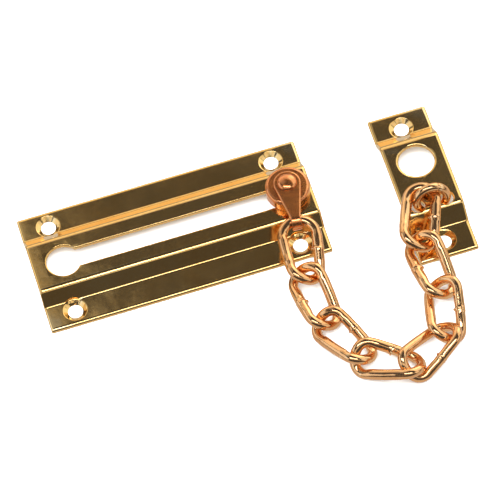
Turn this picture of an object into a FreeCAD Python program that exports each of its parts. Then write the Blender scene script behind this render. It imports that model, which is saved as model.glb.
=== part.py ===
import FreeCAD, Part
import math
import os

# Door chain guard: a slotted track plate, a riveted slider with a swivel tab,
# eight chain links, and a keeper plate that holds the chain's last link on a ring.
# Frame: origin at the centre of the track plate's back face, +X along the track
# towards the keeper plate, +Z out of the plates' front faces. Millimetres.

os.makedirs("parts", exist_ok=True)

V = FreeCAD.Vector
UP = V(0, 0, 1)

# ---- driving dimensions ----

SHEET = 1.2             # plate thickness
BEND = 45.0             # slope of the pressed steps, degrees
HOLE_R = 2.2            # screw holes
SINK_R = 3.85           # countersink at the front face
SINK_DEPTH = 1.1

TRACK_LENGTH = 86.0
TRACK_WIDTH = 40.0
TRACK_RAISE = 3.8       # height of the raised face over the flanges
TRACK_SHOULDER = 11.4   # half width of the hat where it leaves the back face
TRACK_BENDS = (1.0, 2.4)    # front radii at the foot and at the crown
TRACK_SCREWS_X = 69.0
TRACK_SCREWS_Y = 30.0
SLOT_WIDTH = 6.0
SLOT_RIGHT = 36.8       # centre of the slot's round end
KEYHOLE_X = -33.5
KEYHOLE_R = 5.1

KEEPER_CENTRE = (74.8, -7.1)
KEEPER_WIDTH = 18.0     # along X
KEEPER_LENGTH = 52.0    # along Y
KEEPER_RAISE = 4.6
KEEPER_SHOULDERS = (-15.9, 17.2)
KEEPER_BENDS = (1.0, 3.0)
KEEPER_SCREWS = 41.0
PARKING_Y = 5.5         # parking hole, from the keeper's centre
PARKING_R = 5.5
RING_Y = -9.65          # ring holes, from the keeper's centre
RING_SPACING = 8.74
RING_HOLE_R = 2.1

WIRE_R = 1.42           # chain wire
LINK_HALF = 9.65        # half length of a link's centreline
LINK_END_R = 4.25       # round end of a link's centreline
LINK_WIDE_R = 5.0       # opened end of the first link
TWIST = -0.08           # rise per mm along and per mm across a link
STATIONS = 48           # steps round a link's centreline
RIBS = 12               # steps round its wire

STUD_X = 35.8
STUD_Y = 0.8            # the stud leans on one side of the slot
NECK_R = 2.0
BUTTON_R = 4.7
DISC_R = 6.6
DISC_TOP = 9.0
TAB_HEADING = -95.2     # direction from the stud to the first link
TAB_THICK = 1.0
TAB_BOTTOM = 9.4
TAB_EYE_R = 4.05
TAB_NARROW = 3.1
TAB_REACH = 12.0        # stud to the first link's wire
ROLL_GAP = 0.32         # room round the wire in the rolled end
RING_R = 4.6
RING_WIRE_R = 1.3
RING_CENTRE = (-9.25, 6.6)   # along the keeper plate and over its back face
RING_LEAN = 74.0        # degrees over the keeper plate's face

# Each link: centre x, y, z, heading of its far end, and its rise.
LINKS = [
    (33.7, -20.54, 6.66, -97.6, -6.0),
    (32.8, -35.9, 4.55, -84.5, -6.0),
    (36.8, -51.1, 3.75, -63.5, 0.0),
    (46.4, -62.5, 3.75, -30.0, 0.0),
    (59.25, -62.55, 3.75, 29.3, 0.0),
    (67.3, -51.5, 3.75, 77.0, 0.0),
    (68.0, -36.9, 4.9, 94.5, 8.0),
    (69.7, -21.35, 7.2, 68.0, 4.0),
]


def export(shape, name):
    shape.exportStep("parts/" + name + ".step")


def turned(points, place=V(0, 0, 0)):
    """A solid of revolution about Z from (radius, height) points."""
    corners = [V(r, 0, z) for r, z in points]
    face = Part.Face(Part.makePolygon(corners + corners[:1]))
    solid = face.revolve(V(0, 0, 0), UP, 360)
    solid.translate(place)
    return solid


def rounded_path(points, radii):
    """Edges through 2-D points, each inner corner rounded by its radius."""
    edges = []
    here = points[0]
    for i in range(1, len(points) - 1):
        corner = points[i]
        back = (points[i - 1] - corner).normalize()
        ahead = (points[i + 1] - corner).normalize()
        half = back.getAngle(ahead) / 2
        run = radii[i - 1] / math.tan(half)
        start = corner + back * run
        end = corner + ahead * run
        middle_way = (back + ahead).normalize()
        centre = corner + middle_way * (radii[i - 1] / math.sin(half))
        middle = centre - middle_way * radii[i - 1]
        edges.append(Part.makeLine(here, start))
        edges.append(Part.Arc(start, middle, end).toShape())
        here = end
    edges.append(Part.makeLine(here, points[-1]))
    return edges


def hat_face(ends, shoulders, raised, bends):
    """The pressed section of a plate, in the YZ plane, back face on z = 0."""
    low, high = ends
    left, right = shoulders
    foot, crown = bends
    slope = raised / math.tan(math.radians(BEND))
    shift = SHEET * math.tan(math.radians(BEND / 2))
    top = raised + SHEET
    back = [V(0, low, 0), V(0, left, 0), V(0, left + slope, raised)]
    back += [V(0, right - slope, raised), V(0, right, 0), V(0, high, 0)]
    front = [V(0, high, SHEET), V(0, right + shift, SHEET)]
    front += [V(0, right - slope + shift, top), V(0, left + slope - shift, top)]
    front += [V(0, left - shift, SHEET), V(0, low, SHEET)]
    under = [foot + SHEET, crown - SHEET, crown - SHEET, foot + SHEET]
    edges = rounded_path(back, under)
    edges.append(Part.makeLine(back[-1], front[0]))
    edges += rounded_path(front, [foot, crown, crown, foot])
    edges.append(Part.makeLine(front[-1], back[0]))
    return Part.Face(Part.Wire(Part.__sortEdges__(edges)))


def screw_hole(x, y):
    """Cutter for a countersunk screw hole in a flange."""
    top = SHEET + 0.01
    points = [(0, -1), (HOLE_R, -1), (HOLE_R, top - SINK_DEPTH)]
    points += [(SINK_R, top), (SINK_R, top + 1), (0, top + 1)]
    return turned(points, V(x, y, 0))


def round_cut(x, y, radius, low, high):
    return Part.makeCylinder(radius, high - low, V(x, y, low), UP)


def track_plate():
    half = TRACK_WIDTH / 2
    shoulders = (-TRACK_SHOULDER, TRACK_SHOULDER)
    section = hat_face((-half, half), shoulders, TRACK_RAISE, TRACK_BENDS)
    section.translate(V(-TRACK_LENGTH / 2, 0, 0))
    plate = section.extrude(V(TRACK_LENGTH, 0, 0))
    top = TRACK_RAISE + SHEET + 1
    slot = Part.makeBox(
        SLOT_RIGHT - KEYHOLE_X, SLOT_WIDTH, 3, V(KEYHOLE_X, -SLOT_WIDTH / 2, top - 3)
    )
    cuts = [slot, round_cut(SLOT_RIGHT, 0, SLOT_WIDTH / 2, top - 3, top)]
    cuts.append(round_cut(KEYHOLE_X, 0, KEYHOLE_R, top - 3, top))
    for x in (-TRACK_SCREWS_X / 2, TRACK_SCREWS_X / 2):
        for y in (-TRACK_SCREWS_Y / 2, TRACK_SCREWS_Y / 2):
            cuts.append(screw_hole(x, y))
    return plate.cut(cuts)


def keeper_plate():
    cx, cy = KEEPER_CENTRE
    half = KEEPER_LENGTH / 2
    section = hat_face((-half, half), KEEPER_SHOULDERS, KEEPER_RAISE, KEEPER_BENDS)
    section.translate(V(cx - KEEPER_WIDTH / 2, cy, 0))
    plate = section.extrude(V(KEEPER_WIDTH, 0, 0))
    top = KEEPER_RAISE + SHEET + 1
    cuts = [round_cut(cx, cy + PARKING_Y, PARKING_R, top - 3, top)]
    for side in (-1, 1):
        cuts.append(screw_hole(cx, cy + side * KEEPER_SCREWS / 2))
        x = cx + side * RING_SPACING / 2
        cuts.append(round_cut(x, cy + RING_Y, RING_HOLE_R, top - 4, top))
    return plate.cut(cuts)


def slider_stud():
    """Button head, neck in the slot, shank and domed rivet head."""
    eye_top = TAB_BOTTOM + TAB_THICK
    button = [(0, 1.2), (BUTTON_R - 0.6, 1.2), (BUTTON_R, 1.8), (BUTTON_R, 3.0)]
    button += [(BUTTON_R - 0.4, 3.4), (NECK_R, 3.4)]
    shank = [(NECK_R, DISC_TOP + 0.1), (3.2, DISC_TOP + 0.1), (3.2, TAB_BOTTOM - 0.05)]
    shank += [(1.75, TAB_BOTTOM - 0.05), (1.75, eye_top - 0.35)]
    head = [(2.7, eye_top + 0.05)]
    for angle in range(15, 91, 15):
        turn = math.radians(angle)
        head.append((2.7 * math.cos(turn), eye_top + 0.05 + 1.2 * math.sin(turn)))
    head[-1] = (0, eye_top + 1.25)
    return turned(button + shank + head, V(STUD_X, STUD_Y, 0))


def slider_disc():
    """Thick washer with a rounded front edge, loose on the stud."""
    low = TRACK_RAISE + SHEET + 0.1
    bore = NECK_R + 0.06
    points = [(bore, low), (DISC_R - 0.3, low), (DISC_R, low + 0.3)]
    points.append((DISC_R, DISC_TOP - 1.3))
    for angle in (30, 60, 90):
        turn = math.radians(angle)
        x = DISC_R - 1.2 + 1.2 * math.cos(turn)
        points.append((x, DISC_TOP - 1.3 + 1.1 * math.sin(turn)))
    points += [(bore + 1, DISC_TOP), (bore, DISC_TOP)]
    return turned(points, V(STUD_X, STUD_Y, 0))


def tab_outline():
    """Pear-shaped plan of the tab, eye at the origin, reaching along +X."""
    half = TAB_NARROW / 2
    end = TAB_REACH + 4
    lean = math.atan2(TAB_EYE_R - half, TAB_REACH)
    touch = V(TAB_EYE_R * math.sin(lean), TAB_EYE_R * math.cos(lean), 0)
    edges = [Part.Arc(touch, V(-TAB_EYE_R, 0, 0), V(touch.x, -touch.y, 0)).toShape()]
    corners = [V(touch.x, -touch.y, 0), V(TAB_REACH, -half, 0), V(end, -half, 0)]
    corners += [V(end, half, 0), V(TAB_REACH, half, 0), touch]
    for here, there in zip(corners, corners[1:]):
        edges.append(Part.makeLine(here, there))
    return Part.Face(Part.Wire(edges))


def swivel_tab():
    """Strap with an eye on the stud and its end rolled round the first link."""
    inner = WIRE_R + ROLL_GAP
    outer = inner + TAB_THICK
    wire_z = TAB_BOTTOM - inner
    eye = V(-TAB_EYE_R, -5, TAB_BOTTOM)
    strap = Part.makeBox(TAB_REACH + TAB_EYE_R, 10, TAB_THICK, eye)
    axis = V(TAB_REACH, -5, wire_z)
    roll = Part.makeCylinder(outer, 10, axis, V(0, 1, 0))
    roll = roll.cut(Part.makeCylinder(inner, 10, axis, V(0, 1, 0)))
    back = TAB_REACH - outer - 1
    gap = [axis, V(TAB_REACH, -5, wire_z + outer + 1), V(back, -5, wire_z + outer + 1)]
    gap += [V(back, -5, wire_z - 1.4), axis]
    roll = roll.cut(Part.Face(Part.makePolygon(gap)).extrude(V(0, 10, 0)))
    strap = strap.fuse(roll).removeSplitter()
    tab = strap.common(tab_outline().extrude(V(0, 0, 20)))
    tab = tab.cut(round_cut(0, 0, 1.81, TAB_BOTTOM - 1, TAB_BOTTOM + 3))
    seat = TAB_BOTTOM + TAB_THICK
    cone = [(0, seat - 0.4), (1.75, seat - 0.4), (2.8, seat + 0.01), (0, seat + 0.01)]
    tab = tab.cut(turned(cone))
    tab.rotate(V(0, 0, 0), UP, TAB_HEADING)
    tab.translate(V(STUD_X, STUD_Y, 0))
    return tab


def link_rise(u, v, first, last):
    """Height of the twisted centreline: end links are twisted at one end only."""
    if first:
        along = (LINK_HALF + u) ** 3 / (8 * LINK_HALF**2)
    elif last:
        along = -((LINK_HALF - u) ** 3) / (8 * LINK_HALF**2)
    else:
        along = u
    return TWIST * along * v


def link_plan(near_r, far_r, part):
    """Plan point of a link's centreline, a share of the way round it."""
    near = near_r - LINK_HALF
    far = LINK_HALF - far_r
    lean = math.asin((near_r - far_r) / (far - near))
    side = (far - near) * math.cos(lean)
    far_arc = far_r * (math.pi - 2 * lean)
    near_arc = near_r * (math.pi + 2 * lean)
    run = part * (2 * side + far_arc + near_arc)
    if run < far_arc:
        turn = math.pi / 2 - lean - run / far_r
        return far + far_r * math.cos(turn), far_r * math.sin(turn)
    run -= far_arc
    if run < side:
        v = far_r * math.cos(lean) + run * math.sin(lean)
        return far + far_r * math.sin(lean) - run * math.cos(lean), -v
    run -= side
    if run < near_arc:
        turn = lean - math.pi / 2 - run / near_r
        return near + near_r * math.cos(turn), near_r * math.sin(turn)
    run -= near_arc
    v = near_r * math.cos(lean) - run * math.sin(lean)
    return near + near_r * math.sin(lean) + run * math.cos(lean), v


def spline_pole(behind, here, ahead):
    """Pole that makes an even cubic spline pass close to a point."""
    return here - (ahead + behind - here * 2) * (1 / 6)


def wire_loop(points):
    """Closed round wire along a closed row of points."""
    rows = []
    for i, here in enumerate(points):
        ahead = points[(i + 1) % len(points)]
        along = (ahead - points[i - 1]).normalize()
        across = along.cross(UP).normalize()
        above = across.cross(along)
        row = []
        for k in range(RIBS):
            turn = 2 * math.pi * k / RIBS
            row.append(here + (across * math.cos(turn) + above * math.sin(turn)) * WIRE_R)
        rows.append(row)
    poles = []
    tight = (2 + math.cos(2 * math.pi / RIBS)) / 3
    for i, row in enumerate(rows):
        after = (i + 1) % len(rows)
        core = spline_pole(points[i - 1], points[i], points[after])
        pole_row = []
        for k in range(RIBS):
            pole = spline_pole(rows[i - 1][k], row[k], rows[after][k])
            pole_row.append(core + (pole - core) * (1 / tight))
        poles.append(pole_row)
    skin = Part.BSplineSurface()
    ones_u = [1] * (len(rows) + 1)
    ones_v = [1] * (RIBS + 1)
    knots_u = list(range(len(rows) + 1))
    knots_v = list(range(RIBS + 1))
    skin.buildFromPolesMultsKnots(poles, ones_u, ones_v, knots_u, knots_v, True, True, 3, 3)
    solid = Part.Solid(Part.Shell([skin.toShape()]))
    if solid.Volume < 0:
        solid.reverse()
    return solid


def chain_link(index):
    """One wire link, swept along its twisted centreline and set in the chain."""
    x, y, z, heading, rise = LINKS[index]
    first = index == 0
    last = index == len(LINKS) - 1
    near_r = LINK_WIDE_R if first else LINK_END_R
    points = []
    for i in range(STATIONS):
        u, v = link_plan(near_r, LINK_END_R, i / STATIONS)
        points.append(V(u, v, link_rise(u, v, first, last)))
    link = wire_loop(points)
    link.rotate(V(0, 0, 0), V(0, 1, 0), -rise)
    link.rotate(V(0, 0, 0), UP, heading)
    link.translate(V(x, y, z))
    return link


def keeper_ring():
    """Closed wire ring through the keeper plate's two small holes."""
    cx, cy = KEEPER_CENTRE
    ring = Part.makeTorus(RING_R, RING_WIRE_R, V(0, 0, 0), UP)
    ring.rotate(V(0, 0, 0), V(1, 0, 0), RING_LEAN)
    ring.translate(V(cx, cy + RING_CENTRE[0], RING_CENTRE[1]))
    return ring


export(track_plate(), "track_plate")
export(keeper_plate(), "keeper_plate")
export(slider_stud(), "slider_stud")
export(slider_disc(), "slider_disc")
export(swivel_tab(), "swivel_tab")
export(keeper_ring(), "keeper_ring")
for number in range(len(LINKS)):
    export(chain_link(number), "chain_link_" + str(number + 1))
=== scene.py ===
import math

import bpy
from mathutils import Matrix, Vector
from mathutils.geometry import delaunay_2d_cdt


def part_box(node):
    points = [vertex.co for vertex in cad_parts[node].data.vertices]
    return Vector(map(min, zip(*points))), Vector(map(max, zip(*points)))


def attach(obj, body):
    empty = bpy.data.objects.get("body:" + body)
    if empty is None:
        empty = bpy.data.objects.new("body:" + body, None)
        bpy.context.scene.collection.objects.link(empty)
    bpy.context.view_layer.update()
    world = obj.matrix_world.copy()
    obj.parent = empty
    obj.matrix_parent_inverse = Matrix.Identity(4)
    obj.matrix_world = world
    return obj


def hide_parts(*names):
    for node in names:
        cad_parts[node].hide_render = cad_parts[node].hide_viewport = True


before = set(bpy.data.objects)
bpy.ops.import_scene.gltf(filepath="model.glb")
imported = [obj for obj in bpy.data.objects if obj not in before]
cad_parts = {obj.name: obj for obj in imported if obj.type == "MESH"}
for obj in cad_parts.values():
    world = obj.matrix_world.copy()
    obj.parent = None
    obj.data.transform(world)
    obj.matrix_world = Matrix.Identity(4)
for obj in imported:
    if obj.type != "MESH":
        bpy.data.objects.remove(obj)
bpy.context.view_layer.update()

# Door chain guard. Shapes are given in millimetres in the frame of the CAD model
# and mesh_object writes them in metres. Lights, floor and camera are in metres.

MM = 0.001
NEAR = 1e-4             # plan distances below this count as touching

# ---- pressed plates ----

SHEET = 1.2                 # plate thickness
BEND = math.radians(45)     # slope of the pressed steps
HOLE_R = 2.2                # screw holes
SINK_R = 3.6                # countersink at the front face
SINK_DEPTH = 1.1
SINK_SOFT = 0.14            # half width of the countersink's rounded rim
EDGE_ROLL = (1.05, 0.72)    # rounded front edge: how far in, how far down
HOLE_ROLL = (0.42, 0.38)
PARKING_ROLL = (0.75, 0.62)
CORNER_R = 0.5
ROUND_STEPS = 5             # loops across a rounded edge
ARC_STEP = math.radians(3.2)    # between mesh rows on a bend
CHORD = 0.32                # between points on a round outline
CORNER_CHORD = 0.12
LINE_PITCH = 4              # between mesh lines on a flat face
SLOT_STEPS = 60             # points along each side of the slot
SHARP = math.radians(40)    # steeper creases stay sharp


def box_mm(node):
    """Corners of a CAD node in millimetres."""
    low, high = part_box(node)
    return low / MM, high / MM


def round_corner(before, corner, after, radius):
    """Start, end and centre of the arc that rounds a corner."""
    corner = Vector(corner)
    back = (Vector(before) - corner).normalized()
    ahead = (Vector(after) - corner).normalized()
    half = back.angle(ahead) / 2
    start = corner + back * (radius / math.tan(half))
    end = corner + ahead * (radius / math.tan(half))
    return start, end, corner + (back + ahead).normalized() * (radius / math.sin(half))


def sweep_between(start, end, centre):
    """Arm from the centre to the start, and the signed turn to the end."""
    arm, last = start - centre, end - centre
    return arm, arm.angle(last) * (1 if arm.cross(last) > 0 else -1)


class Profile:
    """Polyline z(y) with rounded corners; radii skip its two ends."""

    def __init__(self, points, radii):
        self.parts = []
        here = Vector(points[0])
        for before, corner, after, radius in zip(points, points[1:], points[2:], radii):
            start, end, centre = round_corner(before, corner, after, radius)
            self.parts.append((here, start, None, 0))
            self.parts.append((start, end, centre, radius))
            here = end
        self.parts.append((here, Vector(points[-1]), None, 0))

    def rows(self):
        """Places along y where the mesh needs a line."""
        found = []
        for start, end, centre, _ in self.parts:
            if centre is None:
                found.append(start.x)
                continue
            arm, turn = sweep_between(start, end, centre)
            steps = max(2, math.ceil(abs(turn) / ARC_STEP))
            for k in range(steps):
                found.append((centre + Matrix.Rotation(turn * k / steps, 2) @ arm).x)
        return found[1:]

    def __call__(self, y):
        for start, end, centre, radius in self.parts:
            if y <= end.x or end is self.parts[-1][1]:
                break
        if centre is None:
            share = (y - start.x) / max(end.x - start.x, 1e-9)
            return start.y + (end.y - start.y) * share
        rise = math.sqrt(max(radius**2 - (y - centre.x) ** 2, 0))
        return centre.y + (rise if start.y > centre.y else -rise)


def hat(ends, shoulders, raised, bends):
    """Back and front profiles of a pressed plate."""
    low, high = ends
    left, right = shoulders
    foot, crown = bends
    slope = raised / math.tan(BEND)
    shift = SHEET * math.tan(BEND / 2)
    top = raised + SHEET
    back = [(low, 0), (left, 0), (left + slope, raised)]
    back += [(right - slope, raised), (right, 0), (high, 0)]
    front = [(low, SHEET), (left - shift, SHEET), (left + slope - shift, top)]
    front += [(right - slope + shift, top), (right + shift, SHEET), (high, SHEET)]
    under = [foot + SHEET, crown - SHEET, crown - SHEET, foot + SHEET]
    return Profile(back, under), Profile(front, [foot, crown, crown, foot])


def on_circle(cx, cy, r, a):
    return cx + r * math.cos(a), cy + r * math.sin(a)


def arc(cx, cy, r, a0, a1, step=CHORD):
    """Points round an arc, without its last one."""
    n = max(4, math.ceil(abs(a1 - a0) * max(r, 0.8) / step))
    return [on_circle(cx, cy, r, a0 + (a1 - a0) * k / n) for k in range(n)]


def straight(start, end, n, closed=False):
    """Points along a straight line, without its last one unless closed."""
    (x0, y0), (x1, y1) = start, end
    return [(x0 + (x1 - x0) * k / n, y0 + (y1 - y0) * k / n) for k in range(n + closed)]


class Rectangle:
    """Outline with rounded corners; signed distance is positive inside."""

    def __init__(self, x0, x1, y0, y1, r):
        self.cx, self.cy = (x0 + x1) / 2, (y0 + y1) / 2
        self.hx, self.hy, self.r = (x1 - x0) / 2, (y1 - y0) / 2, r

    def inside(self, x, y):
        dx = abs(x - self.cx) - (self.hx - self.r)
        dy = abs(y - self.cy) - (self.hy - self.r)
        return -(math.hypot(max(dx, 0), max(dy, 0)) + min(max(dx, dy), 0) - self.r)

    def loop(self, d):
        r = max(self.r - d, 0.05)
        hx, hy = self.hx - d - r, self.hy - d - r
        points = []
        for k, (sx, sy) in enumerate(((1, 1), (-1, 1), (-1, -1), (1, -1))):
            start = k * math.pi / 2
            turn = start + math.pi / 2
            corner = (self.cx + sx * hx, self.cy + sy * hy)
            points += arc(*corner, r, start, turn, CORNER_CHORD)
            points.append(on_circle(*corner, r, turn))
        return points


class Round:
    """Round hole."""

    def __init__(self, x, y, r):
        self.x, self.y, self.r = x, y, r

    def outside(self, x, y):
        return math.hypot(x - self.x, y - self.y) - self.r

    def loop(self, d):
        return arc(self.x, self.y, self.r + d, 0, 2 * math.pi)


class Keyhole:
    """Round hole at the left end of a slot whose right end is round."""

    def __init__(self, x, r, half, right):
        self.x, self.r, self.half, self.right = x, r, half, right

    def outside(self, x, y):
        near = min(max(x, self.x), self.right)
        return min(math.hypot(x - self.x, y) - self.r,
                   math.hypot(x - near, y) - self.half)

    def loop(self, d):
        r, h = self.r + d, self.half + d
        lean = math.asin(h / r)
        meet = self.x + r * math.cos(lean)
        points = arc(self.x, 0, r, lean, 2 * math.pi - lean)
        points += straight((meet, -h), (self.right, -h), SLOT_STEPS)
        points += arc(self.right, 0, h, -math.pi / 2, math.pi / 2)
        return points + straight((self.right, h), (meet, h), SLOT_STEPS)


def rolled(d, reach, depth):
    """How far a rounded edge drops at a distance d from the rim."""
    if d >= reach:
        return 0
    share = 1 - max(d, 0) / reach
    return depth * (1 - math.sqrt(max(1 - share**2, 0)))


def sink_drop(rho):
    """Depth of a countersink at a radius."""
    slope = SINK_DEPTH / (SINK_R - HOLE_R)
    t = SINK_R - rho
    if t <= -SINK_SOFT:
        return 0
    if t >= SINK_SOFT:
        return slope * t
    return slope * (t + SINK_SOFT) ** 2 / (4 * SINK_SOFT)


def link_object(name, data):
    obj = bpy.data.objects.new(name, data)
    bpy.context.scene.collection.objects.link(obj)
    return obj


def mesh_object(name, verts, faces):
    mesh = bpy.data.meshes.new(name)
    mesh.from_pydata([tuple(c * MM for c in v) for v in verts], [], faces)
    mesh.validate()
    mesh.update()
    mesh.shade_smooth()
    mesh.set_sharp_from_angle(angle=SHARP)
    return link_object(name, mesh)


def weighted(obj):
    """Flat faces keep flat reflections beside rounded edges."""
    mod = obj.modifiers.new("normals", "WEIGHTED_NORMAL")
    mod.mode = "FACE_AREA_WITH_ANGLE"
    mod.weight = 80
    mod.keep_sharp = True
    return obj


def sheet_loops(outline, holes, screws, edge, rolls):
    """Closed lines round every rim, rounded edge and countersink."""
    loops = []
    for shape, (reach, _) in zip([outline] + holes, [edge] + rolls):
        for k in range(ROUND_STEPS + 1):
            turn = math.pi / 2 * k / ROUND_STEPS
            loops.append(shape.loop(reach * (1 - math.cos(turn))))
    rim = SINK_R - HOLE_R
    for screw in screws:
        loops.append(screw.loop(0))
        for k in range(-2, 3):
            loops.append(screw.loop(rim + SINK_SOFT * k / 2))
        loops.append(screw.loop(rim + SINK_SOFT + 0.05))
    return loops


def sheet_plan(loops, outline, holes, rows, columns):
    """Triangles of the flat plan that keep to the loops and the mesh lines."""
    verts, edges = [], []
    for loop in loops:
        first, count = len(verts), len(loop)
        verts += loop
        edges += [(first + k, first + (k + 1) % count) for k in range(count)]
    (x0, x1), (y0, y1) = columns[0], rows[0]
    lines = [((x0 - 1, y), (x1 + 1, y)) for y in rows[1]]
    lines += [((x, y0 - 1), (x, y1 + 1)) for x in columns[1]]
    for line in lines:
        edges.append((len(verts), len(verts) + 1))
        verts += line
    plan, _, triangles, *_ = delaunay_2d_cdt([Vector(v) for v in verts], edges, [], 0, 1e-5)
    kept = []
    for triangle in triangles:
        mid = sum((plan[i] for i in triangle), Vector((0, 0))) / 3
        if outline.inside(mid.x, mid.y) < NEAR:
            continue
        if any(hole.outside(mid.x, mid.y) < NEAR for hole in holes):
            continue
        a, b, c = (plan[i] for i in triangle)
        if (b - a).cross(c - a) < 0:
            triangle = triangle[::-1]
        kept.append(tuple(triangle))
    return plan, kept


def sheet_solid(name, outline, holes, screws, rows, columns, lift, edge, rolls):
    """Sheet metal cut to an outline, with rounded front edges.

    lift(x, y, is_front, drop, cap) places a plan point on the front or back face:
    drop lowers it at a rounded edge, and cap is its greatest height at a countersink."""
    loops = sheet_loops(outline, holes, screws, edge, rolls)
    plan, kept = sheet_plan(loops, outline, holes + screws, rows, columns)
    used = sorted({i for t in kept for i in t})
    index = {i: k for k, i in enumerate(used)}
    front, back = [], []
    for i in used:
        x, y = plan[i]
        drops = [rolled(h.outside(x, y), *roll) for h, roll in zip(holes, rolls)]
        drop = max([rolled(outline.inside(x, y), *edge)] + drops)
        cap = math.inf
        for screw in screws:
            rho = screw.outside(x, y) + screw.r
            if rho < SINK_R + SINK_SOFT + NEAR:
                cap = SHEET - sink_drop(rho)
        front.append(lift(x, y, True, drop, cap))
        back.append(lift(x, y, False, 0, 0))
    count = len(used)
    faces = [tuple(index[i] for i in t) for t in kept]
    sides = {side: True for a, b, c in faces for side in ((a, b), (b, c), (c, a))}
    rim = [(a, b) for a, b in sides if (b, a) not in sides]
    faces += [(c + count, b + count, a + count) for a, b, c in faces]
    faces += [(b, a, a + count, b + count) for a, b in rim]
    return weighted(mesh_object(name, front + back, faces))


def grid_lines(low, high, pitch):
    """Evenly spaced places between two ends."""
    n = max(1, round((high - low) / pitch))
    return [low + (high - low) * k / n for k in range(1, n)]


def plate(name, node, middle, shoulders, raised, bends, holes, screws, rolls):
    """Pressed plate as large as its CAD node, its hat section centred on middle."""
    low, high = box_mm(node)
    back, front = hat((low.y - middle, high.y - middle), shoulders, raised, bends)

    def lift(x, y, is_front, drop, cap):
        if is_front:
            return x, y, min(front(y - middle) - drop, cap)
        return x, y, back(y - middle)

    rows = [y + middle for y in back.rows() + front.rows()]
    rows += grid_lines(low.y, high.y, LINE_PITCH)
    rows = sorted(set(round(y, 5) for y in rows))
    outline = Rectangle(low.x, high.x, low.y, high.y, CORNER_R)
    columns = grid_lines(low.x, high.x, LINE_PITCH)
    return sheet_solid(name, outline, holes, screws, ((low.y, high.y), rows),
                       ((low.x, high.x), columns), lift, EDGE_ROLL, rolls)


TRACK_RAISE = 3.8           # height of a raised face over its flanges
TRACK_SHOULDER = 11.4
TRACK_BENDS = (1.0, 2.4)    # front radii at the foot and at the crown
TRACK_SCREWS = [Round(x, y, HOLE_R) for x in (-34.5, 34.5) for y in (-15, 15)]
TRACK_SLOT = Keyhole(x=-33.5, r=5.1, half=3.0, right=36.8)
track = plate("track_plate_pressed", "track_plate", 0, (-TRACK_SHOULDER, TRACK_SHOULDER),
              TRACK_RAISE, TRACK_BENDS, [TRACK_SLOT], TRACK_SCREWS, [HOLE_ROLL])

KEEPER_X, KEEPER_Y = 74.8, -7.1
KEEPER_RAISE = 4.6
KEEPER_SHOULDERS = (-15.9, 17.2)
KEEPER_BENDS = (1.0, 3.0)
KEEPER_SCREWS = [Round(KEEPER_X, KEEPER_Y + side * 20.5, HOLE_R) for side in (-1, 1)]
PARKING_HOLE = Round(KEEPER_X, KEEPER_Y + 5.5, 5.35)
RING_HOLES = [Round(KEEPER_X + side * 4.37, KEEPER_Y - 9.65, 2.1) for side in (-1, 1)]
keeper = plate("keeper_plate_pressed", "keeper_plate", KEEPER_Y, KEEPER_SHOULDERS,
               KEEPER_RAISE, KEEPER_BENDS, [PARKING_HOLE] + RING_HOLES, KEEPER_SCREWS,
               [PARKING_ROLL, HOLE_ROLL, HOLE_ROLL])

# ---- turned slider parts ----

STUD = (35.8, 0.8)          # axis of the stud, the disc and the tab's eye
AROUND = 128


def fillet(points, radii, step=math.radians(9)):
    """Rounds the corners of a (radius, height) profile; radii skip its two ends."""
    out = [Vector(points[0])]
    for before, corner, after, radius in zip(points, points[1:], points[2:], radii):
        if radius <= 0:
            out.append(Vector(corner))
            continue
        start, end, centre = round_corner(before, corner, after, radius)
        arm, turn = sweep_between(start, end, centre)
        n = max(2, math.ceil(abs(turn) / step))
        for k in range(n + 1):
            out.append(centre + Matrix.Rotation(turn * k / n, 2) @ arm)
    return out + [Vector(points[-1])]


def lathe(name, profile, x, y, closed=False):
    """Solid of revolution; an open profile starts and ends on the axis."""
    verts, faces, rings = [], [], []
    for p in profile:
        if p.x < 1e-6:
            rings.append([len(verts)])
            verts.append((x, y, p.y))
            continue
        rings.append(list(range(len(verts), len(verts) + AROUND)))
        for k in range(AROUND):
            a = 2 * math.pi * k / AROUND
            verts.append((x + p.x * math.cos(a), y + p.x * math.sin(a), p.y))
    pairs = list(zip(rings, rings[1:])) + ([(rings[-1], rings[0])] if closed else [])
    for low, high in pairs:
        for k in range(AROUND):
            n = (k + 1) % AROUND
            if len(low) == 1:
                faces.append((low[0], high[n], high[k]))
            elif len(high) == 1:
                faces.append((low[k], low[n], high[0]))
            else:
                faces.append((low[k], low[n], high[n], high[k]))
    return weighted(mesh_object(name, verts, faces))


BUTTON_R, BUTTON_LOW, BUTTON_TOP = 4.7, 1.2, 3.4
SHANK_R = 2.0
DISC_R, DISC_LOW, DISC_TOP, DISC_BORE = 6.6, 5.1, 9.0, 2.06
COLLAR_R, COLLAR_LOW, COLLAR_TOP = 3.2, 9.1, 9.35   # seat between disc and tab
RIVET_NECK_R, RIVET_SEAT = 1.75, 10.43
DOME_R, DOME_LOW, DOME_RISE, DOME_STEPS = 2.86, 10.44, 1.2, 16

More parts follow.
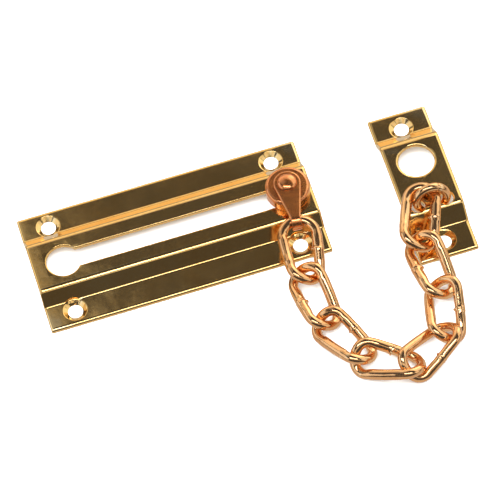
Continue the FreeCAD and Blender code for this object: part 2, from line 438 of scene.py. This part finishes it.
button = [(0, BUTTON_LOW), (BUTTON_R, BUTTON_LOW), (BUTTON_R, BUTTON_TOP), (SHANK_R, BUTTON_TOP)]
shank = [(SHANK_R, DISC_LOW), (SHANK_R, COLLAR_LOW), (COLLAR_R, COLLAR_LOW), (COLLAR_R, COLLAR_TOP)]
neck = [(RIVET_NECK_R, COLLAR_TOP), (RIVET_NECK_R, RIVET_SEAT), (DOME_R, DOME_LOW)]
stud_profile = fillet(button + shank + neck,
                      [0.5, 0.4, 0.1, 0, 0.05, 0.05, 0.05, 0.1, 0.1, 0])
for k in range(1, DOME_STEPS + 1):
    a = math.pi / 2 * k / DOME_STEPS
    r, rise = DOME_R * math.cos(a) ** 0.9, DOME_RISE * math.sin(a) ** 1.05
    stud_profile.append(Vector((r, DOME_LOW + rise)))
stud_profile[-1] = Vector((0, DOME_LOW + DOME_RISE))
stud = lathe("slider_stud_riveted", stud_profile, *STUD)

disc_corners = [(DISC_BORE, DISC_LOW + 0.2), (DISC_BORE, DISC_LOW), (DISC_R, DISC_LOW),
                (DISC_R, DISC_TOP), (DISC_BORE, DISC_TOP), (DISC_BORE, DISC_TOP - 0.4)]
disc_profile = fillet(disc_corners, [0.1, 0.25, 1.1, 0.2], math.radians(6))
disc = lathe("slider_disc_turned", disc_profile, *STUD, closed=True)

# ---- swivel tab ----

TAB_HEADING = math.radians(-95.2)
TAB_EYE_R = 4.05
TAB_BORE = 1.85
TAB_HALF = 1.55             # half width of the strap
TAB_REACH = 12.0            # from the eye to where the strap rolls over
TAB_LOW = 9.4
TAB_THICK = 1.0
TAB_PITCH = 0.8
TAB_EDGE, TAB_BORE_EDGE = (0.42, 0.4), (0.2, 0.2)
ROLL_IN = 1.74              # inner radius of the roll
ROLL_MID = ROLL_IN + TAB_THICK / 2
ROLL_TURN = math.radians(249)
STRAP_STEPS, ROLL_STEPS, ROLL_COLUMNS = 24, 40, 60


class TabOutline:
    """Pear: a round eye at the origin narrowing to a strap along +X."""

    def __init__(self):
        self.end = TAB_REACH + ROLL_TURN * ROLL_MID
        self.lean = math.atan2(TAB_EYE_R - TAB_HALF, TAB_REACH)

    def half(self, x):
        touch = TAB_EYE_R * math.sin(self.lean)
        if x < touch:
            return math.sqrt(max(TAB_EYE_R**2 - x * x, 0))
        top = TAB_EYE_R * math.cos(self.lean)
        if x < TAB_REACH:
            return top + (TAB_HALF - top) * (x - touch) / (TAB_REACH - touch)
        return TAB_HALF

    def inside(self, x, y):
        eye = TAB_EYE_R - math.hypot(x, y)
        if x < TAB_EYE_R * math.sin(self.lean):
            return eye
        slant = math.cos(self.lean) if x < TAB_REACH else 1
        return min((self.half(x) - abs(y)) * slant, self.end - x)

    def loop(self, d):
        r, h, end = TAB_EYE_R - d, TAB_HALF - d, self.end - d
        a = math.pi / 2 - self.lean
        points = arc(0, 0, r, a, 2 * math.pi - a)
        tx, ty = r * math.cos(a), r * math.sin(a)
        points += straight((tx, -ty), (TAB_REACH, -h), STRAP_STEPS)
        points += straight((TAB_REACH, -h), (end, -h), ROLL_STEPS, closed=True)
        points += straight((end, h), (TAB_REACH, h), ROLL_STEPS)
        return points + straight((TAB_REACH, h), (tx, ty), STRAP_STEPS)


def tab_lift(x, y, is_front, drop, _cap):
    """Lays the flat strap out from the stud and rolls its end downwards."""
    height = TAB_THICK / 2 - drop if is_front else -TAB_THICK / 2
    if x <= TAB_REACH:
        px, pz = x, TAB_LOW + TAB_THICK / 2 + height
    else:
        a = (x - TAB_REACH) / ROLL_MID
        px = TAB_REACH + (ROLL_MID + height) * math.sin(a)
        pz = TAB_LOW - ROLL_IN + (ROLL_MID + height) * math.cos(a)
    c, s = math.cos(TAB_HEADING), math.sin(TAB_HEADING)
    return STUD[0] + px * c - y * s, STUD[1] + px * s + y * c, pz


tab_shape = TabOutline()
roll = tab_shape.end - TAB_REACH
tab_rows = grid_lines(-TAB_EYE_R, TAB_EYE_R, TAB_PITCH)
tab_columns = grid_lines(-TAB_EYE_R, TAB_REACH, TAB_PITCH)
tab_columns += [TAB_REACH + roll * k / ROLL_COLUMNS for k in range(ROLL_COLUMNS)]
tab = sheet_solid("swivel_tab_rolled", tab_shape, [Round(0, 0, TAB_BORE)], [],
                  ((-TAB_EYE_R, TAB_EYE_R), tab_rows), ((-TAB_EYE_R, tab_shape.end), tab_columns),
                  tab_lift, TAB_EDGE, [TAB_BORE_EDGE])

# ---- chain ----

WIRE_R = 1.42
LINK_HALF = 9.65        # half length of a link's centreline
LINK_END_R = 4.25       # round end of a link's centreline
LINK_WIDE_R = 5.0       # wider end of the first link
TWIST = -0.08           # rise per mm along and per mm across a link
BOW = 0.12              # how far the sides bow out between the round ends
STOUT = 0.19            # how much stouter the wire is away from its neighbours
SLIM_STOUT = 0.45       # share of that on the links that lie closest together
SLIM_LINKS = (4, 5)
FREE_TO, FREE_FADE = 3.6, 2.2   # distances along a link that its neighbours leave free
SOFTEN = 10
STATIONS = 240          # steps round a link's centreline
RIBS = 28               # steps round its wire
WELD_COLLARS = ((0.10, 0.32, 0.34), (0.085, -0.36, 0.3), (-0.06, 0, 0.13))
WELD_SHEAR = 0.07
WELD_BURR = 0.62

# Each link: centre x, y, z, heading of its far end, rise, side of the weld.
LINKS = [
    (33.7, -20.54, 6.66, -97.6, -6.0, 1),
    (32.8, -35.9, 4.55, -84.5, -6.0, -1),
    (36.8, -51.1, 3.75, -63.5, 0.0, 1),
    (46.4, -62.5, 3.75, -30.0, 0.0, 1),
    (59.25, -62.55, 3.75, 29.3, 0.0, -1),
    (67.3, -51.5, 3.75, 77.0, 0.0, -1),
    (68.0, -36.9, 4.9, 94.5, 8.0, 1),
    (69.7, -21.35, 7.2, 68.0, 4.0, -1),
]


def link_rise(u, v, first, last):
    """Height of the twisted centreline; the chain's two ends keep one end flat."""
    if first:
        along = (LINK_HALF + u) ** 3 / (8 * LINK_HALF**2)
    elif last:
        along = -((LINK_HALF - u) ** 3) / (8 * LINK_HALF**2)
    else:
        along = u
    return TWIST * along * v


def link_plan(near_r, far_r, part):
    """Point on the centreline, a share of the way round the link."""
    near, far = near_r - LINK_HALF, LINK_HALF - far_r
    lean = math.asin((near_r - far_r) / (far - near))
    side = (far - near) * math.cos(lean)
    far_arc = far_r * (math.pi - 2 * lean)
    near_arc = near_r * (math.pi + 2 * lean)
    run = part * (2 * side + far_arc + near_arc)
    if run < far_arc:
        turn = math.pi / 2 - lean - run / far_r
        return far + far_r * math.cos(turn), far_r * math.sin(turn)
    run -= far_arc
    if run < side:
        v = far_r * math.cos(lean) + run * math.sin(lean)
        return far + far_r * math.sin(lean) - run * math.cos(lean), -v
    run -= side
    if run < near_arc:
        turn = lean - math.pi / 2 - run / near_r
        return near + near_r * math.cos(turn), near_r * math.sin(turn)
    run -= near_arc
    v = near_r * math.cos(lean) - run * math.sin(lean)
    return near + near_r * math.sin(lean) + run * math.cos(lean), v


def bump_at(x, centre, width):
    """Smooth bump of height 1."""
    return math.exp(-(((x - centre) / width) ** 2))


def tube(name, place, centres, frames, ribs, radius_at, shift_at=None):
    """Closed tube; radius_at(i, side, turn) gives its radius at a station."""
    verts, faces = [], []
    count = len(centres)
    for i, (here, (across, above)) in enumerate(zip(centres, frames)):
        shift = shift_at(i) if shift_at else Vector((0, 0, 0))
        for k in range(ribs):
            turn = 2 * math.pi * k / ribs
            side = across * math.cos(turn) + above * math.sin(turn)
            verts.append(place @ (here + side * radius_at(i, side, turn) + shift))
            n, m = (i + 1) % count, (k + 1) % ribs
            faces.append((i * ribs + k, n * ribs + k, n * ribs + m, i * ribs + m))
    return mesh_object(name, verts, faces)


def link_centreline(first, last):
    """Stations along a link, bowed and softened."""
    near_r = LINK_WIDE_R if first else LINK_END_R
    points = []
    for i in range(STATIONS):
        u, v = link_plan(near_r, LINK_END_R, i / STATIONS)
        points.append(Vector((u, v, link_rise(u, v, first, last))))
    for p in points:
        share = min(abs(p.x) / (LINK_HALF - LINK_END_R + 1.0), 1)
        p.y *= 1 + BOW / LINK_END_R * math.cos(share * math.pi / 2) ** 2
    for _ in range(SOFTEN):     # the bender leaves no sudden change of curve
        points = [points[i] * 0.5 + (points[i - 1] + points[(i + 1) % STATIONS]) * 0.25
                  for i in range(STATIONS)]
    return points


def chain_link(index):
    """Bent wire with its butt weld: a low collar, a groove and an inner burr."""
    x, y, z, heading, rise, weld_side = LINKS[index]
    first, last = index == 0, index == len(LINKS) - 1
    points = link_centreline(first, last)
    place = Matrix.Translation((x, y, z)) @ Matrix.Rotation(math.radians(heading), 4, "Z")
    place = place @ Matrix.Rotation(-math.radians(rise), 4, "Y")
    offset = 0.35 * math.sin(index * 2.3)
    most = STOUT * (SLIM_STOUT if index in SLIM_LINKS else 1.0)
    frames, facts = [], []
    for i, here in enumerate(points):
        along = (points[(i + 1) % STATIONS] - points[i - 1]).normalized()
        across = along.cross(Vector((0, 0, 1))).normalized()
        frames.append((across, across.cross(along)))
        outside = Vector((here.x, here.y * 0.6, 0)).normalized()
        free = 1 - min(max((abs(here.x) - FREE_TO) / FREE_FADE, 0), 1)
        free = free * free * (3 - 2 * free)
        on_side = 1.0 if here.y * weld_side > 0 and abs(here.x) < 4 else 0.0
        facts.append((here.x - offset, math.copysign(1, here.y), outside, free, on_side))

    def radius_at(i, side, turn):
        u, sign, outside, free, on_side = facts[i]
        stout = most * (free + (1 - free) * max(0.0, side.dot(outside)))
        ragged = 1 + 0.35 * math.sin(3 * turn + index) + 0.25 * math.sin(5 * turn + 2 * index)
        collar = on_side * sum(high * bump_at(u, *spot) for high, *spot in WELD_COLLARS)
        inner = max(0.0, -sign * side.y)
        burr = on_side * WELD_BURR * bump_at(u, 0.05, 0.24) * inner**4
        return WIRE_R + stout + collar * ragged + burr

    def shift_at(i):
        u, *_, on_side = facts[i]
        shear = WELD_SHEAR * math.tanh(u / 0.2) * bump_at(u, 0, 2.2) * (2.0 if first else 1.0)
        return Vector((0, 0, on_side * shear))

    name = "chain_link_%d_welded" % (index + 1)
    return tube(name, place, points, frames, RIBS, radius_at, shift_at)


RING_R = 4.6            # centreline
RING_WIRE_R = 1.3
RING_STATIONS = 180
RING_LEAN = math.radians(74)
RING_JOINT = math.radians(62)


def keeper_ring():
    """Closed wire ring through the keeper plate, with the groove of its butt joint."""
    place = Matrix.Translation((KEEPER_X, KEEPER_Y - 9.25, 6.6))
    place = place @ Matrix.Rotation(RING_LEAN, 4, "X")
    turns = [2 * math.pi * i / RING_STATIONS for i in range(RING_STATIONS)]
    outward = [Vector((math.cos(a), math.sin(a), 0)) for a in turns]

    def radius_at(i, _side, _turn):
        return RING_WIRE_R - 0.12 * bump_at((turns[i] - RING_JOINT) * RING_R, 0, 0.12)

    frames = [(out, Vector((0, 0, 1))) for out in outward]
    return tube("keeper_ring_wire", place, [out * RING_R for out in outward], frames,
                RIBS, radius_at)


links = [chain_link(k) for k in range(len(LINKS))]
ring = keeper_ring()

# ---- materials ----


class Nodes:
    """Short calls for building a node tree."""

    def __init__(self, name):
        self.material = bpy.data.materials.new(name)
        self.material.use_nodes = True
        self.tree = self.material.node_tree
        self.shader = self.tree.nodes["Principled BSDF"]
        self.coords = self.tree.nodes.new("ShaderNodeTexCoord").outputs["Object"]

    def add(self, kind, links=(), **settings):
        """New node; in_NAME settings are its sockets' values."""
        node = self.tree.nodes.new("ShaderNode" + kind)
        for key, value in settings.items():
            if key.startswith("in_"):
                node.inputs[key[3:]].default_value = value
            else:
                setattr(node, key, value)
        for socket, source in dict(links).items():
            self.tree.links.new(source, node.inputs[socket])
        return node

    def stretch(self, scale, turn):
        """Object coordinates, turned about Z and scaled along each axis."""
        node = self.add("Mapping", {"Vector": self.coords})
        node.inputs["Scale"].default_value = scale
        node.inputs["Rotation"].default_value = (0, 0, turn)
        return node.outputs["Vector"]

    def noise(self, scale, detail, rough=0.55, vector=None):
        node = self.add("TexNoise", {"Vector": vector or self.coords},
                        in_Scale=scale, in_Detail=detail, in_Roughness=rough)
        return node.outputs["Fac"]

    def ramp(self, source, *stops):
        """Gray ramp between two stops, each a place and a level."""
        node = self.add("ValToRGB", {"Fac": source})
        for element, (place, level) in zip(node.color_ramp.elements, stops):
            element.position = place
            element.color = (level, level, level, 1)
        return node.outputs["Color"]

    def feed(self, socket, value):
        """Sets a socket to a number or colour, or links an output to it."""
        if isinstance(value, tuple):
            socket.default_value = (*value, 1)
        elif isinstance(value, (int, float)):
            socket.default_value = value
        else:
            self.tree.links.new(value, socket)

    def mix(self, share, a, b):
        node = self.add("Mix", data_type="RGBA")
        for place, value in zip((0, 6, 7), (share, a, b)):
            self.feed(node.inputs[place], value)
        return node.outputs[2]

    def math(self, operation, *values):
        node = self.add("Math", operation=operation)
        for socket, value in zip(node.inputs, values):
            self.feed(socket, value)
        return node.outputs[0]

    def bump(self, height, distance, strength, before=None):
        node = self.add("Bump", {"Height": height}, in_Distance=distance, in_Strength=strength)
        if before is not None:
            self.tree.links.new(before, node.inputs["Normal"])
        return node.outputs["Normal"]


def brass(name, bright, deep, pale, rough, wave, polish_turn, lacquer=0.0):
    """Polished brass plating: uneven tone, smears, fine polishing lines, ripple, painted shade in
    recesses.
    """
    n = Nodes(name)
    tone = n.ramp(n.noise(55, 4, 0.6), (0.35, 0), (0.66, 1))
    colour = n.mix(tone, bright, deep)
    grain = n.ramp(n.noise(1400, 3, 0.7), (0.42, 0), (0.6, 1))
    colour = n.mix(n.math("MULTIPLY", grain, 0.12), colour, pale)
    specks = n.add("TexVoronoi", {"Vector": n.coords}, in_Scale=900.0).outputs["Distance"]
    sparse = n.ramp(n.noise(130, 2), (0.56, 0), (0.64, 1))
    pits = n.math("MULTIPLY", n.ramp(specks, (0.02, 1), (0.09, 0)), sparse)
    colour = n.mix(n.math("MULTIPLY", pits, 0.55), colour, tuple(c * 0.35 for c in deep))
    edge = n.add("NewGeometry").outputs["Pointiness"]
    worn = n.ramp(edge, (0.52, 0), (0.60, 1))
    colour = n.mix(n.math("MULTIPLY", worn, 0.45), colour, pale)
    # Painted shade: concave places (low pointiness) are mixed toward half-dark brass, standing in
    # for the shade that falls in recesses and creases.
    painted_recess_shade = n.ramp(edge, (0.40, 1), (0.485, 0))
    colour = n.mix(n.math("MULTIPLY", painted_recess_shade, 0.35), colour, tuple(c * 0.5 for c in deep))

    smear = n.ramp(n.noise(38, 5, 0.7), (0.4, 0), (0.7, 1))
    lines = n.noise(1, 5, 0.75, n.stretch((140, 5200, 900), polish_turn))
    level = n.math("MULTIPLY_ADD", smear, rough * 0.55, rough)
    level = n.math("MULTIPLY_ADD", lines, rough * 0.35, level)
    level = n.math("MULTIPLY_ADD", pits, 0.2, level)

    ripple = n.bump(n.noise(95, 2, 0.45), 0.00035 * wave, 1.0)
    peel = n.bump(n.noise(620, 2, 0.5), 0.00003 * wave, 1.0, ripple)
    fine = n.bump(lines, 0.0000035, 1.0, peel)
    dents = n.bump(pits, 0.00002, 0.6, fine)

    inputs = n.shader.inputs
    n.tree.links.new(colour, inputs["Base Color"])
    n.tree.links.new(level, inputs["Roughness"])
    n.tree.links.new(dents, inputs["Normal"])
    inputs["Metallic"].default_value = 1.0
    inputs["Coat Weight"].default_value = lacquer
    inputs["Coat Roughness"].default_value = 0.05
    inputs["Coat IOR"].default_value = 1.8
    inputs["Coat Tint"].default_value = (*pale, 1)
    return n.material


plate_brass = brass("plate_brass", bright=(0.90, 0.61, 0.24), deep=(0.84, 0.52, 0.17),
                    pale=(0.98, 0.85, 0.55), rough=0.085, wave=0.3, polish_turn=0.0)
slider_brass = brass("slider_brass", bright=(0.90, 0.48, 0.22), deep=(0.78, 0.36, 0.15),
                     pale=(1.0, 0.70, 0.38), rough=0.165, wave=0.7, polish_turn=0.5, lacquer=0.9)
chain_brass = brass("chain_brass", bright=(0.92, 0.57, 0.29), deep=(0.79, 0.41, 0.18),
                    pale=(1.0, 0.80, 0.52), rough=0.085, wave=1.1, polish_turn=0.9)


def finish_piece(piece, material, slot, body, *nodes):
    piece.data.materials.append(material)
    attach(piece, body)
    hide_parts(*nodes)


finish_piece(track, plate_brass, "plate_brass", "track_plate", "track_plate")
finish_piece(keeper, plate_brass, "plate_brass", "keeper_plate", "keeper_plate")
finish_piece(stud, slider_brass, "slider_brass", "slider", "slider_stud")
finish_piece(disc, slider_brass, "slider_brass", "slider", "slider_disc")
finish_piece(tab, slider_brass, "slider_brass", "swivel_tab", "swivel_tab")
finish_piece(ring, chain_brass, "chain_brass", "keeper_ring", "keeper_ring")
for k, piece in enumerate(links):
    node = "chain_link_%d" % (k + 1)
    finish_piece(piece, chain_brass, "chain_brass", node, node)

# ---- stage ----

FLOOR_HALF = 6
FLOOR_Z = -0.0003           # just clear of the plates' backs
SCENE_MIDDLE = Vector((0.02, -0.025, 0))

floor_mesh = bpy.data.meshes.new("floor")
corners = [(x * FLOOR_HALF, y * FLOOR_HALF, FLOOR_Z)
           for x, y in ((-1, -1), (1, -1), (1, 1), (-1, 1))]
floor_mesh.from_pydata(corners, [], [(0, 1, 2, 3)])
floor = link_object("floor", floor_mesh)
paper = Nodes("floor_paper")
shade = paper.ramp(paper.noise(6, 2), (0.3, 0.86), (0.7, 0.90))
paper.tree.links.new(shade, paper.shader.inputs["Base Color"])
paper.shader.inputs["Roughness"].default_value = 0.95
paper.shader.inputs["Specular IOR Level"].default_value = 0.0
floor.data.materials.append(paper.material)
floor.visible_glossy = False    # the polished brass mirrors the surround instead


def softbox(name, direction, distance, width, height, radiance, colour=(1, 1, 1)):
    """Evenly lit card that faces the object; radiance is its brightness in a mirror."""
    data = bpy.data.lights.new(name, "AREA")
    data.shape = "RECTANGLE"
    data.size = width
    data.size_y = height
    data.energy = radiance * math.pi * width * height
    data.color = colour
    lamp = link_object(name, data)
    away = Vector(direction).normalized()
    lamp.location = SCENE_MIDDLE + away * distance
    lamp.rotation_euler = away.to_track_quat("Z", "Y").to_euler()
    return lamp


softbox("back_card", (0.1, 1.0, 0.42), 1.6, 3.0, 0.95, 1.1, (1.0, 0.86, 0.66))
softbox("left_card", (-1.0, 0.15, 0.45), 1.5, 1.8, 0.95, 0.95)
softbox("right_card", (0.82, 0.50, 0.55), 1.5, 1.8, 1.5, 1.15, (1.0, 0.95, 0.80))
softbox("right_front_card", (1.0, -0.5, 0.5), 1.6, 1.0, 1.0, 0.9, (1.0, 0.94, 0.84))
softbox("top_strip", (-0.1, -0.25, 1.0), 1.4, 1.3, 0.27, 5.5)
softbox("back_high_card", (0.1, 1.0, 1.02), 1.6, 2.6, 0.36, 0.6, (1.0, 0.80, 0.55))
softbox("front_strip", (-0.1, -0.62, 0.85), 1.9, 2.8, 0.34, 0.9, (1.0, 0.92, 0.78))
softbox("high_left_card", (-0.3, 0.50, 0.83), 1.6, 0.9, 0.7, 0.33, (1.0, 0.95, 0.85))
fill = softbox("floor_fill", (-0.1, -0.1, 1.0), 2.2, 2.6, 2.6, 8.5)
fill.visible_glossy = False

# The surround is bright below the horizon and dark above it.
HORIZON = ((0.44, (0.70, 0.62, 0.55, 1)), (0.53, (0.085, 0.08, 0.08, 1)))

world = bpy.data.worlds.new("surround")
world.use_nodes = True
tree = world.node_tree
direction = tree.nodes.new("ShaderNodeTexCoord").outputs["Generated"]
split = tree.nodes.new("ShaderNodeSeparateXYZ")
height = tree.nodes.new("ShaderNodeMath")
height.operation = "MULTIPLY_ADD"
height.inputs[1].default_value = 0.5
height.inputs[2].default_value = 0.5
sky = tree.nodes.new("ShaderNodeValToRGB")
for element, (place, colour) in zip(sky.color_ramp.elements, HORIZON):
    element.position = place
    element.color = colour
tree.links.new(direction, split.inputs["Vector"])
tree.links.new(split.outputs["Z"], height.inputs[0])
tree.links.new(height.outputs[0], sky.inputs["Fac"])
tree.links.new(sky.outputs["Color"], tree.nodes["Background"].inputs["Color"])
bpy.context.scene.world = world
bpy.context.scene.view_settings.view_transform = "Standard"

# ---- camera ----

CAMERA_AT = (-0.09424, -0.63242, 1.06246)
CAMERA_RIGHT = Vector((0.9553, -0.2882, -0.0657))
CAMERA_BACK = Vector((-0.0924, -0.5023, 0.8597)).normalized()   # away from the view

camera_data = bpy.data.cameras.new("camera")
camera_data.lens = 302.4
camera_data.sensor_width = 36.0
camera = link_object("camera", camera_data)
right = (CAMERA_RIGHT - CAMERA_BACK * CAMERA_RIGHT.dot(CAMERA_BACK)).normalized()
axes = Matrix((right, CAMERA_BACK.cross(right), CAMERA_BACK)).transposed().to_4x4()
camera.matrix_world = Matrix.Translation(CAMERA_AT) @ axes
bpy.context.scene.camera = camera
